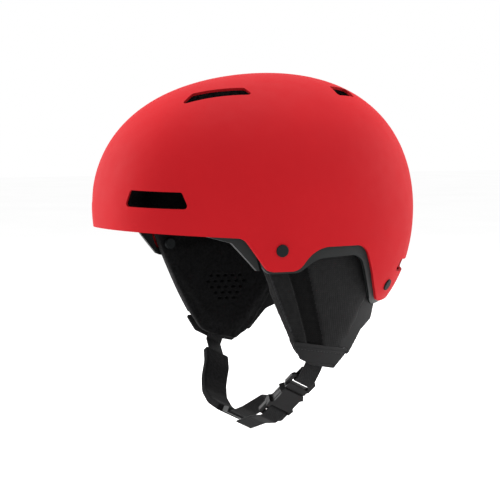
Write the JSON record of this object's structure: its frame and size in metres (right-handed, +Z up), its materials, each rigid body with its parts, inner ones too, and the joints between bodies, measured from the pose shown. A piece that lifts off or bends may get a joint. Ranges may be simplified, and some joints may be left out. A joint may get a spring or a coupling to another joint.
{
  "type": "ski helmet",
  "caption": "Hard-shell ski helmet with slotted vents, foam liner, padded ear flaps, chin strap with side-release buckle, goggle retainer and sprung rear yoke.",
  "frame": {"origin": "centre of the head opening, level with the brim, where a head holds the helmet", "axes": "+Z up through the crown, -Y towards the brow, +X towards the wearer's left ear"},
  "size_m": [0.216, 0.2876, 0.2935],
  "materials": {
    "shell": "matte",
    "foam": "matte foam beads",
    "trim": "satin",
    "plug": "matte",
    "knit": "brushed knit",
    "fleece": "fleece",
    "strip": "satin",
    "webbing": "woven",
    "buckle": "satin",
    "metal": "brushed",
    "yoke": "matte"
  },
  "bodies": {
    "helmet": {"outer_shell": "shell", "liner_crown": "foam", "liner_front": "foam", "liner_back": "foam", "liner_left": "foam", "liner_right": "foam", "rim_trim": "trim", "brow_trim": "trim", "shell_plugs": "plug", "brow_pad": "fleece", "crown_pad": "fleece", "rear_pad": "fleece", "side_pad_left": "fleece", "side_pad_right": "fleece", "neck_pad": "fleece", "ear_cover_left": "knit", "ear_cover_right": "knit", "ear_band_left": "strip", "ear_band_right": "strip", "nape_strip_left": "strip", "nape_strip_right": "strip", "ear_foam_left": "fleece", "ear_foam_right": "fleece", "ear_lining_left": "fleece", "ear_lining_right": "fleece", "ear_snaps": "plug", "retainer_base": "buckle", "retainer_pin": "metal", "retainer_stud": "metal", "yoke_bracket": "yoke", "yoke_pin": "metal"},
    "left_strap": {"webbing_left": "webbing", "buckle_plug": "buckle"},
    "chin_strap": {"buckle_socket": "buckle", "webbing_right": "webbing", "chin_pad": "fleece"},
    "keeper": {"strap_keeper": "trim"},
    "retainer": {"retainer_arm": "trim", "retainer_cap": "buckle"},
    "yoke": {"yoke_band": "yoke", "yoke_pad": "fleece"}
  },
  "joints": [
    {"name": "strap_swing", "type": "hinge", "parent": "helmet", "child": "left_strap", "pos_m": [0, 0.004, -0.109], "axis": [1, 0, 0], "range_deg": [-25, 50], "stiffness_Nm_per_rad": 0.12},
    {"name": "buckle_release", "type": "slide", "parent": "left_strap", "child": "chin_strap", "axis": [-0.5861, -0.3741, -0.7187], "range_m": [0, 0.022], "deforming": ["webbing_right"]},
    {"name": "keeper_slide", "type": "slide", "parent": "chin_strap", "child": "keeper", "axis": [0.998, 0.029, 0.0557], "range_m": [0, 0.009]},
    {"name": "retainer_open", "type": "hinge", "parent": "helmet", "child": "retainer", "pos_m": [0, 0.1435, 0.025], "axis": [1, 0, 0], "range_deg": [0, 110], "stiffness_Nm_per_rad": 0.004},
    {"name": "yoke_flex", "type": "hinge", "parent": "helmet", "child": "yoke", "pos_m": [0, 0.096, 0.027], "axis": [1, 0, 0], "range_deg": [0, 5], "stiffness_Nm_per_rad": 3}
  ]
}
